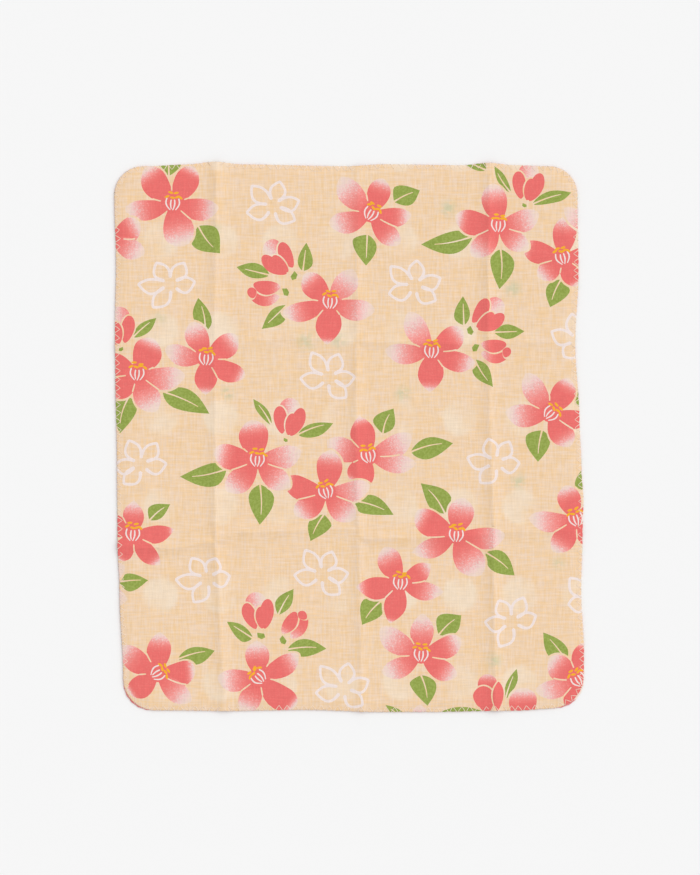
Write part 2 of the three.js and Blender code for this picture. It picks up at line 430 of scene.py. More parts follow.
# Flowers: the middle, how far the stamens lean to the right, or None without them, and the petals.
FLOWERS = [
    (-110.5, 146, 0, [(127, 28, 17, 15), (61, 26.5, 15.5, 12), (-6, 28.5, 14, 28),
        (-76, 27, 19.5, 32, "broad"), (187, 29.5, 13, 28)]),
    (-148.5, 125, None, [(28, 19.5, 15, 25), (-27, 22.5, 13, 40)]),
    (-12, 84.4, 0, [(131, 23.5, 15, 20), (53, 24.5, 15, 50), (-11, 28, 13.5, 40),
        (266, 26.5, 16.2, 8, "point"), (193, 30, 12.5, 25)]),
    (13.5, 139.7, 25, [(131, 29, 15.5, 40), (71, 23, 14.5, 18), (-2, 25, 12, 20), (-47, 26, 13, 25),
        (194, 26.5, 14, 35)]),
    (133.7, 112.2, -18, [(86, 25.5, 15, 20), (162, 26, 14, 12), (218, 19.5, 13, 25), (-62, 20, 12, 10),
        (10, 24, 13, 20)]),
    (93.3, 132.4, 0, [(98, 26, 16, 25), (16, 26, 14, 40), (-38, 23.5, 12.5, 35), (230, 25, 14, 30),
        (168, 27, 15.5, 15)]),
    (160, 129, None, [(151, 28.5, 11, 45)]),
    (-132.8, 39.5, 0, [(66, 24, 18.5, 15), (-3, 29.5, 14.5, 40), (-64, 26, 16.5, 35), (217, 22, 14, 10),
        (150, 22, 13.5, 10)]),
    (-89.5, 49, 0, [(111, 24.3, 14.5, 30), (37, 23.7, 14.7, 22), (-25, 26.5, 13, 12),
        (269, 22.5, 14.3, 12, "point"), (167, 26, 12.7, 40)]),
    (12, -12, -15, [(103, 25.5, 15.7, 12, "point"), (26, 29.5, 14, 45), (-9, 29.5, 12, 45),
        (244, 19, 17.5, 10, "broad"), (160, 27, 15, 35)]),
    (-14.5, -34.5, -20, [(83, 26, 16.3, 20), (8, 27.5, 13, 45), (-44, 24.5, 15, 35), (216, 24, 14.5, 25),
        (165, 27, 14.5, 10)]),
    (-57.5, -14.5, 0, [(98, 25, 18.7, 18), (12, 27.5, 14.4, 45), (-40, 26, 14.5, 35),
        (225, 27, 15.5, 28), (168, 27, 15.5, 20, "broad")]),
    (51.5, 53.5, 0, [(121, 28, 14.5, 48), (37, 23.7, 15, 20), (-16, 28, 12.7, 22),
        (268, 25.3, 16.2, 12, "point"), (179, 28.5, 12.8, 40)]),
    (126, 14.5, 42, [(121, 29, 14.3, 40), (61, 24.5, 15, 15), (-8, 24, 12, 10), (-58, 23.5, 15, 20),
        (178, 27.5, 14.5, 35)]),
    (142, -51.5, -20, [(107, 21.8, 14.7, 20), (179, 29, 12.9, 40), (235, 24.5, 14.5, 20),
        (30, 20, 13, 10), (-50, 20, 13, 10)]),
    (67, -61.5, 0, [(79, 23.3, 16.4, 30), (0, 30, 13.7, 30), (-59, 29, 18.5, 35),
        (202, 29, 12.5, 30, "oval"), (151, 28.5, 16, 15, "broad")]),
    (-135.5, -61, 0, [(88, 21, 13.3, 25, "point"), (7, 26, 11.3, 8, "point"),
        (-48, 25.2, 11.5, 12, "oval"), (236, 19, 13, 10), (148, 19, 13, 10)]),
    (-120, -148, 55, [(87, 25.3, 15.3, 20, "oval"), (5, 23.5, 15.6, 12, "broad"), (-40, 27, 13, 35),
        (214, 22, 14.5, 8), (144, 28.5, 14.5, 25, "oval")]),
    (-56.5, -150.5, -50, [(94, 22.3, 15.2, 28), (30, 28, 13, 20), (-39, 29, 16, 8, "broad"),
        (245, 24, 14, 30), (181, 25.5, 14.2, 35)]),
    (32, -91.5, 0, [(114, 24.2, 15.3, 25), (32, 22.5, 12.5, 20, "point"), (-12, 27, 11.8, 30, "oval"),
        (255, 25.7, 14, 6, "point"), (185, 27.6, 14.2, 12, "point")]),
    (45, -136.5, 0, [(88, 25.5, 14.8, 35, "oval"), (22, 26.3, 13.5, 22, "broad"), (-31, 25.7, 13, 22),
        (205, 26.5, 12.8, 35), (147, 30, 14.7, 42)]),
    (143.5, -152, -35, [(143, 22.3, 16, 25), (195, 27.4, 12, 40), (258, 20, 14, 5), (80, 23, 14, 8),
        (20, 20, 13, 10)]),
    (109, -180, None, [(91, 22.5, 17.5, 20, "broad")]),
    (44, -179, None, [(90, 11, 8, 60)]),
    (-166, -90, None, [(20, 26.5, 13, 50), (-25, 29, 13, 50)]),
]

# Leaves: the foot and the tip, how wide the left side is and where, the same for the right side,
# the bend, and the form. The places of the width and the bend are in hundredths of the length.
LEAVES = [
    (-94.5, 132, -80.8, 114.8, 9.3, 40, 9.3, 30, -6, "kite"),
    (28, 147.2, 44.3, 154.3, 7.7, 22, 6.9, 50, 5, "kite"), (11.3, 126.5, 10.5, 107.2, 6.2, 40, 9, 20),
    (77, 125.3, 45, 120.5, 7.3, 38, 6.7, 35, 5), (94.8, 117.3, 94, 92.5, 7.8, 33, 7.4, 31, 5),
    (101, 153, 90.8, 169.5, 2.5, 45, 3.2, 55, 4), (114.8, 145.7, 139, 153, 3.7, 45, 4.2, 65, 4),
    (132.5, 98.3, 125.8, 81.2, 8.6, 28, 5.7, 40, -5), (-50, 101.3, -70.5, 106.3, 4.3, 50, 5.3, 45),
    (-29, 103.8, -26.8, 121.5, 4, 35, 5.5, 30), (-112.8, 163.3, -114, 190, 9, 30, 8, 30, 0, "kite"),
    (85.5, 167, 66, 176, 2.7, 30, 6, 30), (-135.3, 62.5, -120.7, 74.5, 2.9, 40, 4.4, 50, 3),
    (-90, 66, -94.5, 87, 6.9, 50, 4.4, 25, -6), (-116.5, 28.3, -87.5, 14.5, 6.9, 42, 7.3, 33, 4),
    (-138, 25, -143.5, 2.3, 8.4, 33, 7, 30, -8), (-39, 82.5, -54.8, 67.5, 6.2, 40, 4.3, 40, 0, "kite"),
    (-48.7, 7.5, -60, 23.7, 3.3, 60, 2.6, 45, -4), (-32, 1.5, -10, 8.5, 2.8, 35, 6, 50, 5),
    (21, 2, 27.8, 17.8, 7.8, 31, 6.1, 42, 8, "kite"), (71.8, 70, 71.2, 88, 6, 30, 4, 38),
    (90.5, 65.5, 109.8, 66.1, 4.7, 42, 4.6, 45, 0, "kite"),
    (78.5, 48.5, 90, 31.2, 5.2, 40, 5, 35, -4, "kite"),
    (-77, -20.3, -105.9, -24.9, 8.2, 28, 6.4, 30, 5),
    (-125, -52.2, -112, -42.2, 5.9, 28, 4.3, 42, 6, "kite"), (-55.8, -30, -56, -55, 8, 32, 8, 33, 4),
    (-15.8, -48.5, -24.2, -65.3, 8.1, 25, 5.4, 42, -5, "kite"),
    (38.8, -9.3, 65, -4, 5.1, 43, 8.2, 38, 6), (60, -48, 44.7, -29, 6.7, 36, 8.4, 25, -7, "kite"),
    (3.8, -40, 27.8, -48.8, 6, 38, 6.8, 25, 5), (120.7, 4, 118.2, -15.6, 6.7, 35, 9, 25, -4),
    (85.7, -72.5, 103.5, -86.7, 6.1, 35, 7.4, 42, 5),
    (-144.2, -90.8, -125.8, -89.8, 4.5, 30, 6.9, 36, 3, "kite"),
    (-107, -139, -84.2, -133.8, 4, 40, 7.3, 48, 5), (-60.5, -126, -76.5, -115.7, 5.5, 25, 3.4, 50),
    (-44.5, -111.5, -34.8, -95.2, 5.1, 36, 4.6, 48, 4, "kite"),
    (-38.5, -133, -14.3, -132.6, 5.2, 40, 6, 42, 5),
    (19.7, -103, 8, -117.7, 6.7, 33, 8.2, 32, -6, "kite"),
    (56, -124, 70.2, -111.7, 8, 38, 7.2, 50, 6, "kite"), (45, -149.3, 49, -168.3, 7, 36, 8.8, 20, 6),
    (97.8, -164, 104.8, -145.3, 2.3, 40, 3.8, 60, 3), (136, -140, 121.5, -122.5, 7.4, 42, 5, 30, -3),
    (150, -34, 147.5, -18, 8, 30, 5, 30, 0, "kite"), (150, 16, 143.5, 30.5, 5, 50, 4, 50),
    (150, -74, 145.8, -64, 1.6, 40, 3, 40), (36, -178, 22.7, -167.8, 3, 40, 3, 40),
    (57, -173, 86, -172.5, 3.7, 45, 4, 45),
]
LEAF_FORMS = {"tear": (0.66, 1.0), "kite": (0.9, 1.1)}  # how blunt the foot and the tip are
RIB_SPAN = (-0.03, 0.74)
RIB_WIDTHS = [1.2, 0.85, 0.7, 0.4]


def leaf_layers(x, y, tip_x, tip_y, left, left_peak, right, right_peak, bend=0, form="tear"):
    """A leaf and its pale midrib, wide at the foot and gone before the tip."""
    reach = math.dist((x, y), (tip_x, tip_y))
    turn = math.degrees(math.atan2(tip_y - y, tip_x - x))
    sides = []
    for width, peak in ((-right, right_peak), (left, left_peak)):
        aside = swell(EASED, peak / 100, *LEAF_FORMS[form]) * width
        sides.append(placed(EASED * reach, bow(bend, reach, EASED) + aside, (x, y), turn))
    rib = np.linspace(*RIB_SPAN, 7)
    line = placed(rib * reach, bow(bend, reach, rib), (x, y), turn)
    return [Layer(LEAF, joined(sides)), Layer(GROUND, stroke(line, RIB_WIDTHS))]


# Buds: the foot, which way the bud points, 1 or -1 for its mirror image, its form, and the sizes
# of the bud and of its calyx.
BUDS = [
    (-36.5, 103, 125, -1, "opening"),
    (110, 147, 86, 1, "opening", 1, 0.6),
    (78, 68.5, 48, 1, "opening"),
    (-143, 57, 90, -1, "opening", 1, 0.6),
    (-39.5, 0, 86, 1, "opening", 1, 0.55),
    (-55.5, -121.5, 102, 1, "opening"),
    (-42.8, 90.6, 176, -1, "closed", 1.08),
    (82, 55.3, -3, 1, "closed"),
    (-39.5, -125, 57, 1, "closed"),
    (88, -173, 90, 1, "full"),
]
# A bud's petals in its own frame, from behind to front: where the foot of each is, its petal, and
# the line along which it fades: from where, which way and how far. A cream line parts each from
# the petals behind it, but for the ones marked as close.
BUD_FORMS = {
    "opening": [
        (8.5, -0.5, (-3, 15.7, 13, 55, "broad"), 19, 8, -95, 14.5),
        (1.8, 2.6, (10, 17, 8.4, 5, "cup"), 0, 0, 5, 22),
        (1.2, -1.2, (-9, 13.6, 7.2, 5, "cup"), 0, 0, 5, 22),
        (0.8, -2.8, (-19, 18.4, 8.6, 5, "cup"), 0, 0, 5, 22, "close"),
    ],
    "closed": [
        (0.6, -2.9, (-5, 16.4, 8, 30, "blunt"), 17, 0, 180, 18.5),
        (0.3, 2.9, (1, 15.6, 8.2, 20, "blunt"), 17, 0, 180, 19),
        (14, -0.6, (-12, 5.4, 6.4, 5, "blunt"), 10, 0, 0, 12),
    ],
    "full": [
        (8, 1.5, (0, 16.2, 12, 20, "broad"), 8, 0, 0, 18),
        (0, 1, (14, 17, 13, 5, "broad"), 0, 0, 0, 20),
        (1.5, -4.8, (-2, 18, 7, 5, "oval"), 0, 0, 0, 22),
    ],
}
BUD_HALO = 0.95
CALYX_DROP = 0.8
CALYX = [(0.2, 2.3), (-2.8, 2.6), (-4.4, 0.3), (-3.7, -2.1), (-1.3, -1.8)]  # along, aside


def bud_layers(x, y, turn, hand, form, size=1, calyx=1):
    """A bud: the petals behind and before it, parted by cream lines, and its calyx below."""
    foot = (x, y)
    layers = []
    for along, aside, petal, dye_along, dye_aside, way, run, *close in BUD_FORMS[form]:
        bend, reach, width, fade, shape = petal
        petal = Petal(turn + bend * hand, reach * size, width * size, fade, shape)
        scaled = np.array([(along, aside * hand), (dye_along, dye_aside * hand)]) * size
        start, dye = placed(*scaled.T, foot, turn)
        if not close:
            layers.append(Layer(GROUND, petal_outline(start, petal, BUD_HALO)))
        fading = (dye, turn + way * hand, run * size, fade / 100)
        layers.append(Layer(CORAL, petal_outline(start, petal), *fading))
    along, aside = np.array(CALYX).T * calyx
    layers.append(Layer(LEAF, placed(along - CALYX_DROP, aside * hand, foot, turn)))
    return layers


# Outline blossoms: the middle, then the direction and length of each petal.
BLOSSOMS = [
    (-112, 95.5, [(123, 16), (57, 16), (6, 15.4), (180, 20), (233, 18)]),
    (-47.5, 144.5, [(137, 18.4), (75, 15.8), (12, 16.4), (-34, 16.2), (194, 17)]),
    (41, 94.5, [(141, 19.4), (85, 15.9), (17, 16.8), (-35, 16), (197, 16.8)]),
    (-12.8, 37, [(124, 19), (67, 16), (2, 16.2), (-49, 16.4), (181, 17.7)]),
    (143, 60, [(102, 17.4), (160, 17.3), (230, 13), (45, 16), (-20, 16)]),
    (-130.6, -17.4, [(116, 16.8), (53, 16.8), (2, 16.1), (229, 15.9), (182, 16.5)]),
    (91.9, -16.4, [(108, 15.9), (58, 15.8), (0, 14.6), (232, 15.7), (169, 18.2)]),
    (-88.8, -89, [(127, 16.3), (67, 14.1), (8, 14.1), (240, 16.7), (181, 19.7)]),
    (-17, -86.3, [(124, 18.6), (66, 15.7), (3, 16.3), (-48, 16.4), (181, 17.3)]),
    (101.7, -115.9, [(121, 15.7), (64, 17), (15, 15.7), (244, 17), (180, 16.6)]),
    (-3.5, -157.6, [(136, 20.2), (79, 16.1), (19, 16.4), (-41, 15.7), (189, 17.5)]),
    (151, -102, [(133, 18.7), (192, 14)]),
]
BLOSSOM_JOINT = 4.7  # how far from the middle the lines of two petals meet
BLOSSOM_STEP = 80  # the widest angle between two petals whose lines meet
BLOSSOM_BULGE = 3.2
BLOSSOM_FORM = (0.55, 1, 0.92)
BLOSSOM_LINES = [2.2, 1.75, 1.6, 1.7]


def blossom_layers(x, y, petals):
    """A blossom drawn in pale lines alone, open in the middle."""
    layers = []
    share = np.linspace(0, 1, 9)
    for turn, reach in petals:
        for side in (-1, 1):
            steps = [side * (other - turn) % 360 for other, _ in petals if other != turn]
            joint = BLOSSOM_JOINT * facing(min(steps + [BLOSSOM_STEP]) / 2)
            along = joint[0] + (reach - joint[0]) * share
            half = joint[1] * (1 - share**1.5) + BLOSSOM_BULGE * swell(share, *BLOSSOM_FORM)
            line = placed(along, side * half + sag(turn, reach, share), (x, y), turn)
            layers.append(Layer(PALE, stroke(line, BLOSSOM_LINES)))
    return layers


def print_layers():
    """Every layer of the print, in the order it is painted."""
    motifs = [
        (blossom_layers, BLOSSOMS), (leaf_layers, LEAVES), (bud_layers, BUDS), (flower_layers, FLOWERS),
    ]
    return [layer for drawn, rows in motifs for row in rows for layer in drawn(*row)]


# Sheets as closed meshes

def triangulated(rim, points, outlines=()):
    """Triangles inside a rim, with the given points, and with the outlines as edges."""
    verts, edges = [], []
    for outline in [rim, *outlines]:
        first, count = len(verts), len(outline)
        verts += [Vector(p) for p in outline]
        edges += [(first + i, first + (i + 1) % count) for i in range(count)]
    verts += [Vector(p) for p in points]
    found = geometry.delaunay_2d_cdt(verts, edges, [], 0, WELD)
    flat = np.array([(p.x, p.y) for p in found[0]])
    faces = np.array([face for face in found[2] if len(face) == 3])
    faces = faces[inside(flat[faces].mean(1), rim)]
    used, faces = np.unique(faces, return_inverse=True)
    return flat[used], faces.reshape(-1, 3)


def boundary(faces):
    """The vertices round the outside of a triangulated sheet, anticlockwise."""
    edges = set()
    for a, b, c in faces:
        edges |= {(a, b), (b, c), (c, a)}
    after = {a: b for a, b in edges if (b, a) not in edges}
    loop = [min(after)]
    while after[loop[-1]] != loop[0]:
        loop.append(after[loop[-1]])
    return loop


def clear_of(points, outline, distance):
    """The points that lie inside an outline and clear of it."""
    points = points[inside(points, outline)]
    return points[rim_distance(points, outline) > distance]


def new_object(name, data):
    """Puts a mesh, lamp or camera into the scene."""
    piece = bpy.data.objects.new(name, data)
    bpy.context.collection.objects.link(piece)
    return piece


def sheet_mesh(name, rim, upper, lower, upper_points, lower_points, outlines=()):
    """A closed sheet between two height functions of place and distance from the rim."""
    top, top_faces = triangulated(rim, upper_points, outlines)
    loop = boundary(top_faces)
    edge = top[loop]
    bottom, bottom_faces = triangulated(edge, lower_points)
    loop_of = {tuple(np.round(p, 4)): i for i, p in enumerate(bottom)}
    low_loop = [loop_of[tuple(np.round(p, 4))] for p in edge]
    count = len(top)
    places = [
        np.column_stack([flat, level(*flat.T, rim_distance(flat, rim))])
        for flat, level in ((top, upper), (bottom, lower))
    ]
    faces = top_faces.tolist()
    faces += (bottom_faces[:, ::-1] + count).tolist()
    for i in range(len(loop)):
        faces.append([loop[i - 1], low_loop[i - 1] + count, low_loop[i] + count, loop[i]])
    mesh = bpy.data.meshes.new(name)
    mesh.from_pydata((np.vstack(places) * MM).tolist(), [], faces)
    mesh.validate()
    mesh.shade_smooth()
    return new_object(name, mesh), top, top_faces


def seam_drop(distance):
    """How far the face ply has come down to the back ply, from 0 inside to 1 at the edge."""
    return eased(1 - distance / SEAM_SLOPE)


def rim_round(distance):
    """The rounding of a cut edge, from 0 inside to 1 at the rim."""
    share = np.clip(1 - distance / RIM_ROUND, 0, 1)
    return 1 - np.sqrt(1 - share * share)


# How much the rounding of the rim takes off: the face above, each ply below, the back above.
FACE_ROUND, UNDER_ROUND, BACK_ROUND = 0.26, 0.16, 0.36


def face_level(x, y, distance):
    drop = seam_drop(distance)
    return crease_height(x, y) + wrinkle_height(x, y) + FACE_LEVEL + (SEAM_LEVEL - FACE_LEVEL) * drop


def face_top(x, y, distance):
    waves = soft_waves(x, y) * (1 - seam_drop(distance))
    return face_level(x, y, distance) + waves + PLY - FACE_ROUND * rim_round(distance)


def face_under(x, y, distance):
    return face_level(x, y, distance) + UNDER_ROUND * rim_round(distance)


def back_top(x, y, distance):
    return back_under(x, y, distance) + PLY - BACK_ROUND * rim_round(distance)


def back_under(x, y, distance):
    return crease_height(x, y) + SEAM_LIFT * seam_drop(distance) + UNDER_ROUND * rim_round(distance)


STITCH_PITCH = 5.2
SCALLOP = 0.16


def plain_rim(ply):
    """The rim of a ply, the outward direction at each point, and the number of its stitches."""
    points, outward = evenly(cut_outline(ply) - MIDDLE, RIM_STEP)
    return points, outward, round(len(points) * RIM_STEP / STITCH_PITCH)


def scalloped_rim(ply):
    """The rim of a ply, drawn in a little at each stitch."""
    points, outward, stitches = plain_rim(ply)
    phase = np.arange(len(points)) / len(points) * stitches * 2 * math.pi
    return points + outward * (SCALLOP * np.cos(phase))[:, None]


def inset_points(rim):
    """Lines of points inside the rim, for its rounding and the slope to the seam."""
    points, outward = evenly(rim, RIM_STEP)
    lines = []
    for i, inset in enumerate(RIM_INSETS):
        every = 1 if i < 2 else 2
        lines.append((points - outward * inset)[i % every::every])
    return np.vstack(lines)


def mesh_points(rim, across, flat_step, margin, every=1):
    """Points of a sheet's mesh: the lines along its rim, and the grid that is clear of them."""
    grid = grid_points(across, flat_step)
    return np.vstack([inset_points(rim)[::every], clear_of(grid, rim, RIM_INSETS[-1] + margin)])


# Where specks of the back ply's green show through the face: x, y, reach, strength
SPECKS = [
    (62, 143, 4.2, 0.9), (102.5, 93, 4.2, 0.9), (-76, 27.5, 3.4, 0.9), (33.5, 27, 4, 0.9),
    (106, -28, 4, 0.8), (131, -79, 3.4, 0.6), (91, -140, 3.8, 0.8), (-83, 130.5, 3, 0.6),
    (-27, 60, 5, 0.7), (-7, 60.5, 4.6, 0.6), (-118, 75, 3.4, 0.5),
]


def paint_print(piece, top, top_faces, layers):
    """Gives every corner of the face its inks: the last layer that covers a triangle wins."""
    middles = top[top_faces].mean(1)
    owner = np.full(len(top_faces), -1)
    for i, layer in enumerate(layers):
        owner[inside(middles, layer.outline)] = i
    mesh = piece.data
    corners = {ink: np.zeros(len(mesh.loops), np.float32) for ink in (CORAL, LEAF, PALE, YOLK, "fade")}
    for i, layer in enumerate(layers):
        if layer.ink == GROUND:
            continue
        faces = np.nonzero(owner == i)[0]
        loops = (faces[:, None] * 3 + np.arange(3)).ravel()
        corners[layer.ink][loops] = 1
        if layer.ink == CORAL:
            along = (top[top_faces[faces].ravel()] - np.array(layer.centre)) @ facing(layer.turn)
            share = along / layer.reach
            corners["fade"][loops] = np.clip((share - 1) / (FADE_RUN * layer.fade) + TIP_FADE, -0.5, 1.5)
    for ink, values in corners.items():
        mesh.attributes.new(ink, "FLOAT", "CORNER").data.foreach_set("value", values)
    showing = np.zeros(len(mesh.vertices), np.float32)
    for x, y, reach, strength in SPECKS:
        gap = np.hypot(top[:, 0] - x, top[:, 1] - y)
        showing[:len(top)] = np.maximum(showing[:len(top)], strength * np.exp(-((gap / reach) ** 2)))
    mesh.attributes.new("speck", "FLOAT", "POINT").data.foreach_set("value", showing)


# Stitches

def deselect_all():
    for piece in bpy.context.selected_objects:
        piece.select_set(False)


THREAD = 0.44
THREAD_SIDES = 5
STITCH_STRETCH = (-0.06, 0.1)  # how much shorter or longer than modelled a stitch can be
STITCH_LEAN = (-0.12, 0.12)
# One stitch seen from the rim: along the rim, in from it, and up from the seam's middle.
STITCH_PATH = [
    (-2.6, 2.7, -0.35), (-2.42, 0.5, -0.5), (-2.3, -0.2, -0.1), (-2.05, 0.15, 0.44),
    (-1.1, 1.45, 0.7), (0, 2.85, 0.83), (1.1, 1.45, 0.7), (2.05, 0.15, 0.44),
    (2.3, -0.2, -0.1), (2.42, 0.5, -0.5), (2.6, 2.7, -0.35),
]
SEAM_MIDDLE = 0.78


def model_stitch():
    """One whip stitch, extruded along the way of the thread."""
    path = [Vector(p) * MM for p in STITCH_PATH]
    ways = [(b - a).normalized() for a, b in zip(path[:1] + path, path[1:] + path[-1:])]
    deselect_all()
    bpy.ops.mesh.primitive_circle_add(
        vertices=THREAD_SIDES,
        radius=THREAD / 2 * MM,
        fill_type="NGON",
        location=path[0],
        rotation=Vector((0, 0, 1)).rotation_difference(ways[0]).to_euler(),
    )
    stitch = bpy.context.object
    bpy.ops.object.transform_apply(location=True, rotation=True, scale=True)
    bpy.ops.object.mode_set(mode="EDIT")
    bpy.ops.mesh.select_all(action="SELECT")
    for i in range(1, len(path)):
        bpy.ops.mesh.extrude_region_move(TRANSFORM_OT_translate={"value": path[i] - path[i - 1]})
        turn = ways[i - 1].rotation_difference(ways[i]).to_euler()
        for axis, angle in zip("XYZ", turn):
            bpy.ops.transform.rotate(value=-angle, orient_axis=axis, center_override=path[i])
    bpy.ops.mesh.select_all(action="SELECT")
    bpy.ops.mesh.normals_make_consistent(inside=False)
    bpy.ops.object.mode_set(mode="OBJECT")
    stitch.data.shade_smooth()
    return stitch


def sew_edge(stitch):
    """Copies the stitch all round the rim, each a little uneven, and joins them as one thread."""
    points, outward, stitches = plain_rim("face")
    lift = crease_height(*points.T)
    rng = np.random.default_rng(7)
    deselect_all()
    for i in range(stitches):
        k = round(i * len(points) / stitches)
        x_way = Vector((-outward[k][1], outward[k][0], 0))
        y_way = Vector((*-outward[k], 0))
        stretch = 1 + rng.uniform(*STITCH_STRETCH)
        lean = rng.uniform(*STITCH_LEAN)
        basis = Matrix((x_way, y_way * stretch + x_way * lean, Vector((0, 0, 1)))).transposed()
        place = Vector((*points[k], lift[k] + SEAM_MIDDLE)) * MM
        copy = new_object("edge_stitch", stitch.data.copy())
        copy.data.transform(Matrix.Translation(place) @ basis.to_4x4())
        copy.select_set(True)
        if i == 0:
            bpy.context.view_layer.objects.active = copy
    bpy.data.objects.remove(stitch)
    bpy.ops.object.join()
    thread = bpy.context.object
    thread.name = "edge_thread"
    return thread


# Finishes

GAIN = 0.95  # what the light of this scene adds is taken off the colours


def linear(red, green, blue):
    """A colour of the photograph, from 11 to 255 each, as light for the shader."""
    lights = [((level / 255 + 0.055) / 1.055) ** 2.4 * GAIN for level in (red, green, blue)]
    return *lights, 1


GROUND_PALE = linear(241, 214, 188)
GROUND_WARM = linear(241, 205, 160)
DOT_SHOWING = linear(243, 224, 200)
SPECK_SHOWING = linear(205, 203, 168)
CORAL_DEEP = linear(235, 113, 109)
CORAL_INK = linear(239, 127, 121)
LEAF_INK = linear(157, 173, 88)
LEAF_DEEP = linear(143, 160, 73)
PALE_INK = linear(241, 227, 224)
YOLK_INK = linear(246, 176, 48)
BACK_PINK = linear(232, 150, 148)
BACK_ROSE = linear(222, 118, 122)
BACK_DOT = linear(245, 226, 212)
BACK_FLECK = linear(150, 170, 96)
THREAD_WHITE = linear(247, 230, 214)
FLOOR_WHITE = linear(247, 247, 247)


class Nodes:
    """Short ways to add and link nodes in one tree."""

    def __init__(self, tree):
        self.tree = tree

    def add(self, kind, group=None, **inputs):
        node = self.tree.nodes.new(kind)
        if group:
            node.node_tree = group
        for name, value in inputs.items():
            self.feed(node.inputs[name.replace("_", " ")], value)
        return node

    def feed(self, socket, value):
        if isinstance(value, bpy.types.NodeSocket):
            self.tree.links.new(value, socket)
        else:
            socket.default_value = value

    def math(self, operation, *values):
        node = self.tree.nodes.new("ShaderNodeMath")
        node.operation = operation
        for socket, value in zip(node.inputs, values):
            self.feed(socket, value)
        return node.outputs[0]

    def plus(self, first, second):
        return self.math("ADD", first, second)

    def times(self, first, second):
        return self.math("MULTIPLY", first, second)

    def blend(self, factor, first, second, mode="MIX"):
        node = self.tree.nodes.new("ShaderNodeMix")
        node.data_type = "RGBA"
        node.blend_type = mode
        self.feed(node.inputs["Factor"], factor)
        self.feed(node.inputs["A"], first)
        self.feed(node.inputs["B"], second)
        return node.outputs["Result"]

    def between(self, value, low, high, to_low=0.0, to_high=1.0, smooth=True):
        node = self.tree.nodes.new("ShaderNodeMapRange")
        node.interpolation_type = "SMOOTHSTEP" if smooth else "LINEAR"
        for socket, level in zip(node.inputs, (value, low, high, to_low, to_high)):
            self.feed(socket, level)
        return node.outputs["Result"]

    def ink(self, name):
        node = self.tree.nodes.new("ShaderNodeAttribute")
        node.attribute_name = name
        return node.outputs["Fac"]

    def place(self):
        return self.tree.nodes.new("ShaderNodeTexCoord").outputs["Object"]

    def mottle(self, scale, detail=2.0, stretch=(1, 1, 1), shift=(0, 0, 0)):
        """Noise of about 1 / scale metres, longer where stretch is small."""
        mapping = self.add("ShaderNodeMapping", Vector=self.place(), Scale=stretch, Location=shift)
        texture = self.add("ShaderNodeTexNoise", Vector=mapping.outputs[0], Scale=scale, Detail=detail)
        return texture.outputs["Fac"]


def new_group(name, inputs, outputs):
    """A shader node group with named inputs, each with its usual value, and named outputs."""
    group = bpy.data.node_groups.new(name, "ShaderNodeTree")
    for label, value in inputs.items():
        socket = group.interface.new_socket(label, in_out="INPUT", socket_type="NodeSocketFloat")
        socket.default_value = value
    for label in outputs:
        group.interface.new_socket(label, in_out="OUTPUT", socket_type="NodeSocketFloat")
    start = group.nodes.new("NodeGroupInput")
    end = group.nodes.new("NodeGroupOutput")
    return group, Nodes(group), start.outputs, end.inputs


THREAD_PITCH = 0.52 * MM
WEAVE_TONE = 0.085  # how much the weave darkens and lightens the colours
CLOTH_ROUGHNESS = 0.92


def woven_gauze():
    """Loose plain weave: uneven threads both ways as a tone, and their relief as a height."""
    inputs = {"Thread pitch": THREAD_PITCH, "Slub": 1.0}
    group, n, given, out = new_group("woven gauze", inputs, ["Tone", "Warmth", "Relief"])
    weft = n.mottle(1, 2, (110, 1050, 20))
    warp = n.mottle(1, 2, (1080, 105, 20), (3, 7, 0))
    weft_warm = n.mottle(1, 2, (78, 780, 20), (11, 2, 0))
    warp_warm = n.mottle(1, 2, (820, 72, 20), (5, 13, 0))
    both = n.math("SUBTRACT", n.plus(weft, warp), 1.0)
    n.feed(out["Tone"], n.times(both, n.times(given["Slub"], 2.2)))
    warm = n.plus(weft_warm, warp_warm)
    n.feed(out["Warmth"], n.between(warm, 0.78, 1.22, smooth=False))
    split = n.add("ShaderNodeSeparateXYZ", Vector=n.place())
    ridges = []
    for way, wander in (("X", warp), ("Y", weft)):
        turns = n.math("DIVIDE", split.outputs[way], given["Thread pitch"])
        turns = n.plus(turns, n.times(wander, 0.8))
        ridges.append(n.math("SINE", n.times(turns, math.pi)))
    over = n.times(ridges[0], ridges[1])
    tops = n.plus(n.math("ABSOLUTE", ridges[0]), n.math("ABSOLUTE", ridges[1]))
    relief = n.plus(n.times(tops, 0.35), n.times(over, 0.3))
    n.feed(out["Relief"], n.plus(relief, n.times(both, 0.9)))
    return group


DOT_PITCH = (37.5, 55.3)
DOT_START = (31.8, 11.8)
DOT_RADIUS = 11
FLECK_RADIUS = 2.4


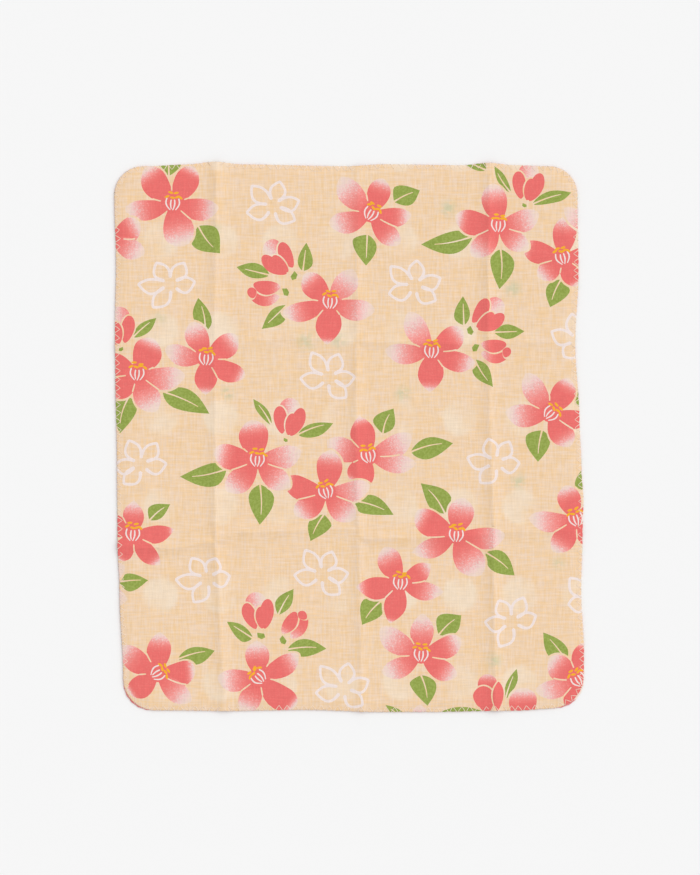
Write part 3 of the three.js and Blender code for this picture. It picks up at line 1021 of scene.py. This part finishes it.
def reverse_print():
    """The back ply's print: rows of soft dots with small flecks between them."""
    group, n, given, out = new_group("reverse print", {"Blur": 1.0}, ["Dots", "Flecks"])
    split = n.add("ShaderNodeSeparateXYZ", Vector=n.place())
    for name, offset, radius in (("Dots", 0.0, DOT_RADIUS), ("Flecks", 0.5, FLECK_RADIUS)):
        gaps = []
        for axis, way in enumerate("XY"):
            shifted = n.math("SUBTRACT", split.outputs[way], DOT_START[axis] * MM)
            turns = n.plus(n.math("DIVIDE", shifted, DOT_PITCH[axis] * MM), 0.5 + offset * axis)
            gaps.append(n.times(n.math("SUBTRACT", n.math("FRACT", turns), 0.5), DOT_PITCH[axis]))
        away = n.math("SQRT", n.plus(*[n.times(gap, gap) for gap in gaps]))
        away = n.plus(away, n.times(n.mottle(160, 3), 3.0))
        soft = n.times(given["Blur"], 1.6)
        low = n.math("SUBTRACT", radius + 1.5, soft)
        high = n.plus(radius + 1.5, soft)
        n.feed(out[name], n.between(away, low, high, 1.0, 0.0))
    return group


GAUZE = woven_gauze()
REVERSE = reverse_print()


def new_material(name, roughness, sheen=0.0):
    material = bpy.data.materials.new(name)
    material.use_nodes = True
    shader = material.node_tree.nodes["Principled BSDF"]
    shader.inputs["Roughness"].default_value = roughness
    shader.inputs["Sheen Weight"].default_value = sheen
    shader.inputs["Specular IOR Level"].default_value = 0.2
    return material, Nodes(material.node_tree), shader


def woven_finish(n, shader, colour, gauze):
    """Puts the weave's tone over a colour, and its relief on the surface."""
    tone = n.plus(1.0, n.times(gauze["Tone"], WEAVE_TONE))
    grey = n.add("ShaderNodeCombineColor", Red=tone, Green=tone, Blue=tone)
    n.feed(shader.inputs["Base Color"], n.blend(1.0, colour, grey.outputs[0], "MULTIPLY"))
    bump = n.add("ShaderNodeBump", Height=gauze["Relief"], Strength=0.5, Distance=0.00012)
    n.feed(shader.inputs["Normal"], bump.outputs[0])


def printed_finish():
    """The face: cream gauze with the coral, green, white and yellow inks."""
    material, n, shader = new_material("printed gauze", CLOTH_ROUGHNESS)
    gauze = n.add("ShaderNodeGroup", GAUZE, Slub=1.0).outputs
    reverse = n.add("ShaderNodeGroup", REVERSE, Blur=1.4).outputs
    ground = n.blend(gauze["Warmth"], GROUND_PALE, GROUND_WARM)
    patchy = n.between(n.mottle(26, 2), 0.35, 0.65)
    ground = n.blend(n.times(reverse["Dots"], n.times(patchy, 0.8)), ground, DOT_SHOWING)
    speck = n.times(n.ink("speck"), n.between(n.mottle(300, 2), 0.3, 0.56))
    ground = n.blend(speck, ground, SPECK_SHOWING)
    fade = n.ink("fade")
    grain = n.math("SUBTRACT", n.mottle(1700, 2), 0.5)
    worn = n.between(n.mottle(1250, 1, shift=(4, 9, 0)), 0.5, 0.72)
    halfway = n.times(n.times(fade, n.math("SUBTRACT", 1.3, fade)), 2.1)
    fade = n.plus(fade, n.times(grain, n.math("MAXIMUM", halfway, 0.15)))
    fade = n.plus(fade, n.times(worn, 0.3))
    ramp = n.tree.nodes.new("ShaderNodeValToRGB")
    n.feed(ramp.inputs["Fac"], n.between(fade, -0.5, 1.5, smooth=False))
    stops = [
        (0.0, CORAL_DEEP), (0.25, CORAL_INK), (0.42, linear(243, 150, 144)),
        (0.55, linear(243, 176, 170)), (0.68, linear(240, 204, 200)),
        (0.8, linear(238, 217, 216)), (1.0, linear(241, 224, 218)),
    ]
    while len(ramp.color_ramp.elements) < len(stops):
        ramp.color_ramp.elements.new(0.5)
    for element, (position, colour) in zip(ramp.color_ramp.elements, stops):
        element.position = position
        element.color = colour
    thin = n.between(fade, 0.75, 1.25, 1.0, 0.45)
    colour = n.blend(n.times(n.ink("coral"), thin), ground, ramp.outputs["Color"])
    green = n.blend(n.between(n.mottle(800, 4), 0.36, 0.64), LEAF_INK, LEAF_DEEP)
    colour = n.blend(n.ink("leaf"), colour, green)
    colour = n.blend(n.times(n.ink("pale"), 0.9), colour, PALE_INK)
    colour = n.blend(n.ink("yolk"), colour, YOLK_INK)
    woven_finish(n, shader, colour, gauze)
    return material


def reverse_finish():
    """The back: pink gauze with pale dots and green flecks."""
    material, n, shader = new_material("reverse gauze", CLOTH_ROUGHNESS)
    gauze = n.add("ShaderNodeGroup", GAUZE, Slub=1.0).outputs
    reverse = n.add("ShaderNodeGroup", REVERSE, Blur=0.5).outputs
    ground = n.blend(gauze["Warmth"], BACK_PINK, BACK_ROSE)
    colour = n.blend(reverse["Dots"], ground, BACK_DOT)
    colour = n.blend(reverse["Flecks"], colour, BACK_FLECK)
    woven_finish(n, shader, colour, gauze)
    return material


def thread_finish():
    """White sewing thread, its twist as a fine relief."""
    material, n, shader = new_material("white thread", 0.7, sheen=0.1)
    n.feed(shader.inputs["Base Color"], n.blend(n.mottle(900, 1), THREAD_WHITE, linear(243, 220, 198)))
    bump = n.add("ShaderNodeBump", Height=n.mottle(5200, 1), Strength=0.5, Distance=0.0001)
    n.feed(shader.inputs["Normal"], bump.outputs[0])
    return material


def floor_finish():
    material, n, shader = new_material("pale floor", 0.95)
    faint = n.blend(n.mottle(3, 1), FLOOR_WHITE, linear(246, 246, 246))
    n.feed(shader.inputs["Base Color"], faint)
    return material


# Floor, light and camera

FLOOR_SIZE = 12
FLOOR_DROP = 0.02 * MM


def build_stage():
    deselect_all()
    bpy.ops.mesh.primitive_plane_add(size=FLOOR_SIZE, location=(0, 0, -FLOOR_DROP))
    floor = bpy.context.object
    floor.name = "floor"
    floor.data.materials.append(floor_finish())
    bpy.ops.object.transform_apply(location=True, rotation=True, scale=True)


WORLD_LIGHT = 0.755
WINDOW_LIGHT = 1.25
WINDOW_ANGLE = 60
WINDOW_FROM = (0.55, 0.38, 0.76)


def build_light():
    """Even room light, and one broad soft light from the upper right."""
    world = bpy.data.worlds.new("room")
    bpy.context.scene.world = world
    world.use_nodes = True
    background = world.node_tree.nodes["Background"]
    background.inputs["Color"].default_value = (1, 1, 1, 1)
    background.inputs["Strength"].default_value = WORLD_LIGHT
    sun = bpy.data.lights.new("window", "SUN")
    sun.energy = WINDOW_LIGHT
    sun.angle = math.radians(WINDOW_ANGLE)
    lamp = new_object("window", sun)
    lamp.rotation_euler = Vector(WINDOW_FROM).to_track_quat("Z", "Y").to_euler()


def build_camera():
    camera = bpy.data.cameras.new("camera")
    camera.lens = LENS
    camera.sensor_width = SENSOR
    camera.clip_start = 0.01
    place = new_object("camera", camera)
    distance = FRAME_HEIGHT * LENS / SENSOR
    place.location = Vector((*AIM, FACE_LEVEL + PLY + distance)) * MM
    bpy.context.scene.camera = place
    bpy.context.scene.view_settings.view_transform = "Standard"


# The handkerchief

def build_face():
    rim = scalloped_rim("face")
    margin = FACE_STEP * 0.4
    fine = mesh_points(rim, FACE_CREASE, FACE_STEP, margin)
    plain = mesh_points(rim, PLAIN_CREASE, PLAIN_STEP, margin, every=3)
    layers = print_layers()
    piece, top, top_faces = sheet_mesh(
        "printed_face", rim, face_top, face_under, fine, plain, [layer.outline for layer in layers]
    )
    paint_print(piece, top, top_faces, layers)
    piece.data.materials.append(printed_finish())
    return piece


def build_back():
    rim = scalloped_rim("back")
    points = mesh_points(rim, PLAIN_CREASE, PLAIN_STEP, FACE_STEP)
    piece = sheet_mesh("reverse_back", rim, back_top, back_under, points, points)[0]
    piece.data.materials.append(reverse_finish())
    return piece


def cut_area(ply):
    """The flat area of a ply, in square metres."""
    x, y = (cut_outline(ply) * MM).T
    return abs(np.dot(x, np.roll(y, -1)) - np.dot(y, np.roll(x, -1))) / 2


build_stage()
build_light()
build_camera()
back = build_back()
face = build_face()
thread = sew_edge(model_stitch())
thread.data.materials.append(thread_finish())

for piece, node in ((face, "face_gauze"), (back, "back_gauze"), (thread, "face_gauze")):
    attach(piece, "root")
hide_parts("face_gauze")
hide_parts("back_gauze")
cut_area("back")
cut_area("face")
